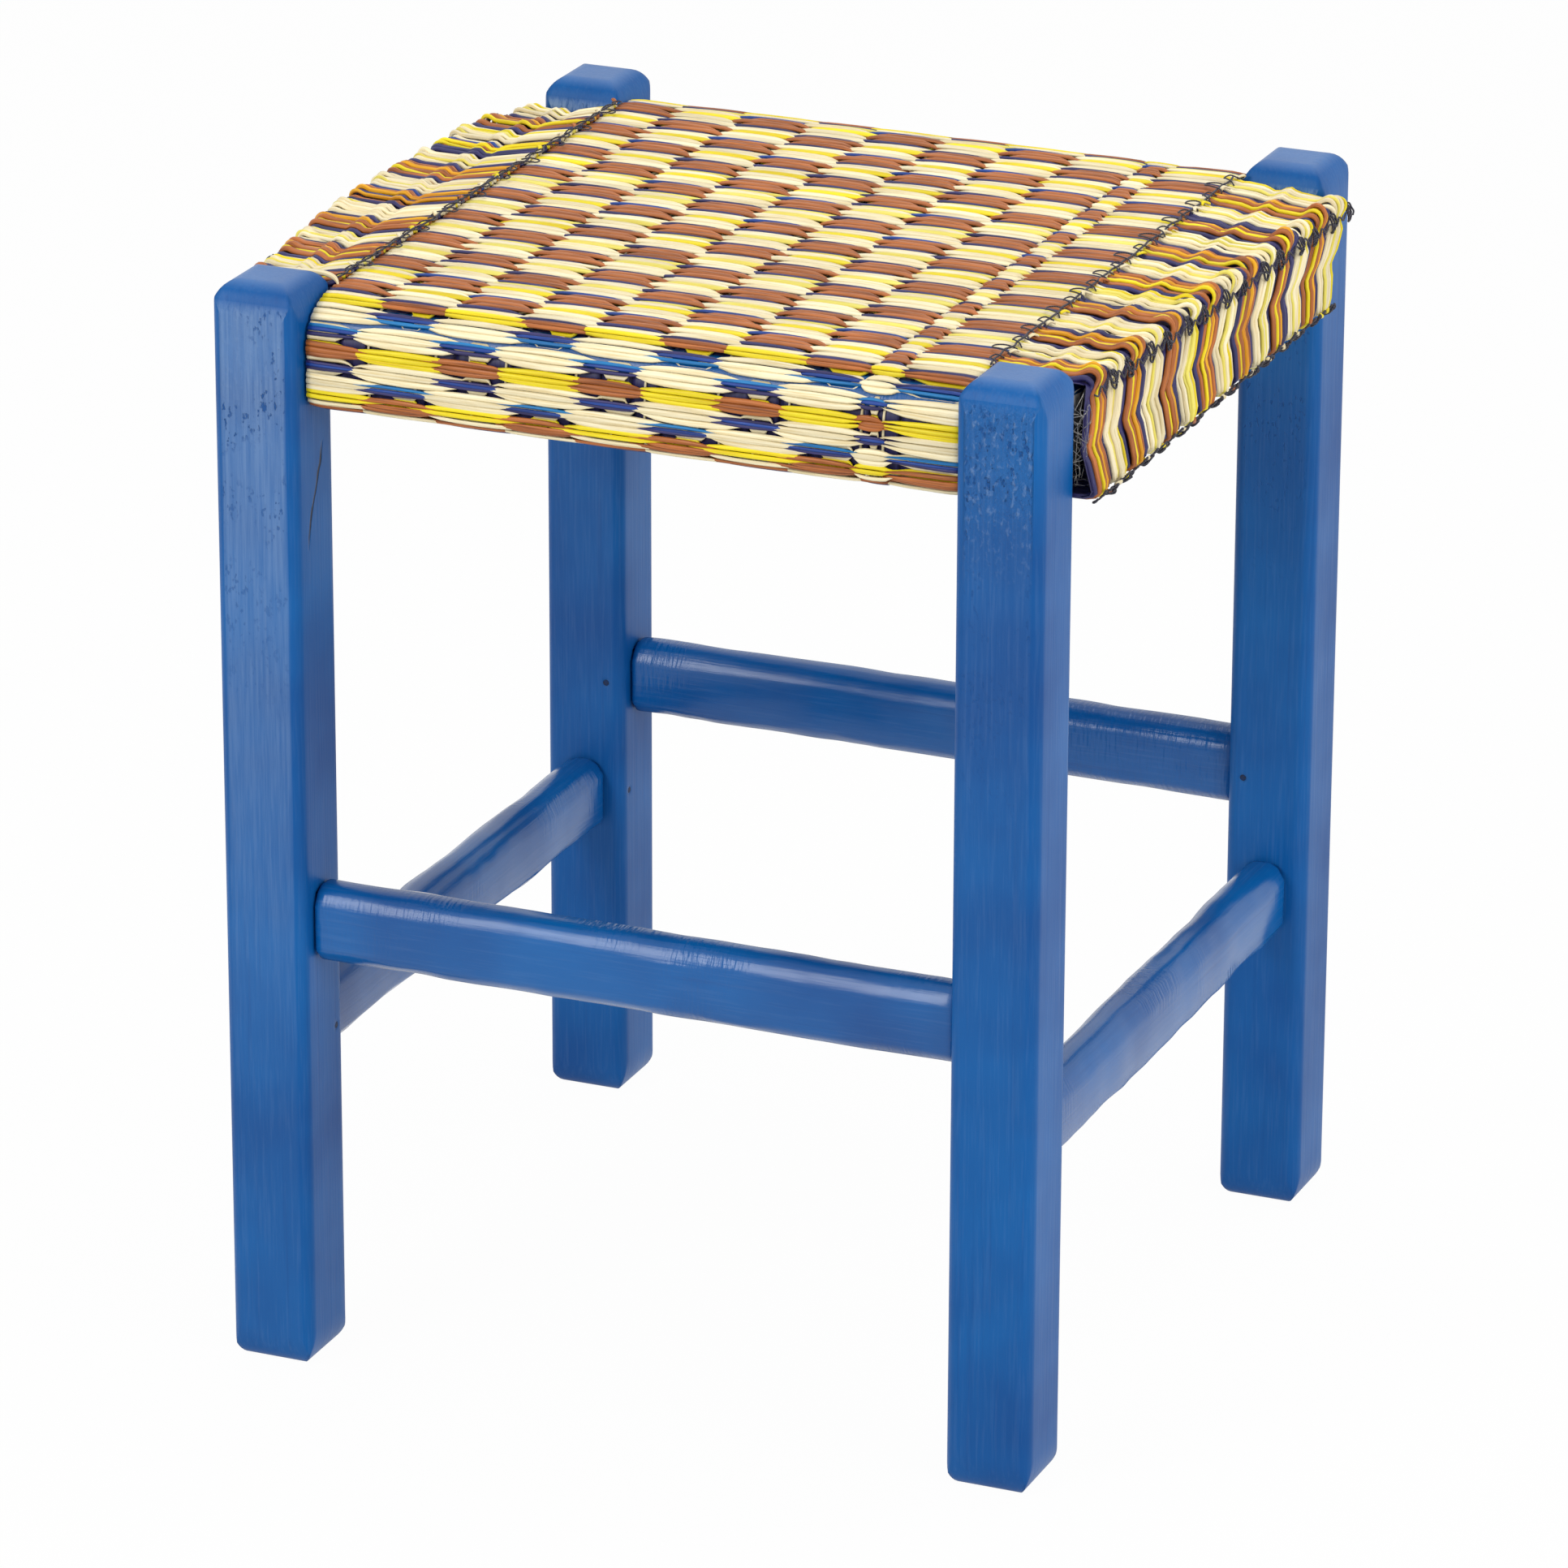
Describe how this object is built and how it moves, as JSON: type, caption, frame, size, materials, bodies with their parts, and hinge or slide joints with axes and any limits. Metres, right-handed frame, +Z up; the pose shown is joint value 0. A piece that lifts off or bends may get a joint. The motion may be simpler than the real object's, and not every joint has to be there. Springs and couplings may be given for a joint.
{
  "type": "stool",
  "caption": "Low square stool with blue-painted wooden legs and stretchers and a seat of multicolour woven straw, stitched along its sides.",
  "frame": {"origin": "on the floor under the middle of the seat", "axes": "+X to the sitter's right along the front of the seat seen from the front, +Y from the front to the back, +Z up"},
  "size_m": [0.3722, 0.35, 0.46],
  "materials": {
    "painted_wood": "satin",
    "woven_straw": "satin",
    "dark_thread": "matte",
    "fibre_padding": "matte",
    "nail_steel": "satin"
  },
  "bodies": {
    "root": {"leg_front_left": "painted_wood", "leg_front_right": "painted_wood", "leg_back_left": "painted_wood", "leg_back_right": "painted_wood", "stretcher_front": "painted_wood", "stretcher_back": "painted_wood", "stretcher_left": "painted_wood", "stretcher_right": "painted_wood", "seat_rail_front": "painted_wood", "seat_rail_back": "painted_wood", "seat_rail_left": "painted_wood", "seat_rail_right": "painted_wood", "cross_stretcher_nails": "nail_steel", "side_stretcher_nails": "nail_steel", "woven_mat": "woven_straw", "woven_side_left": "woven_straw", "woven_side_right": "woven_straw", "edge_padding_left": "fibre_padding", "edge_padding_right": "fibre_padding", "seam_stitches_left": "dark_thread", "seam_stitches_right": "dark_thread", "fold_stitches_left": "dark_thread", "fold_stitches_right": "dark_thread", "hem_stitches_left": "dark_thread", "hem_stitches_right": "dark_thread"}
  },
  "joints": []
}
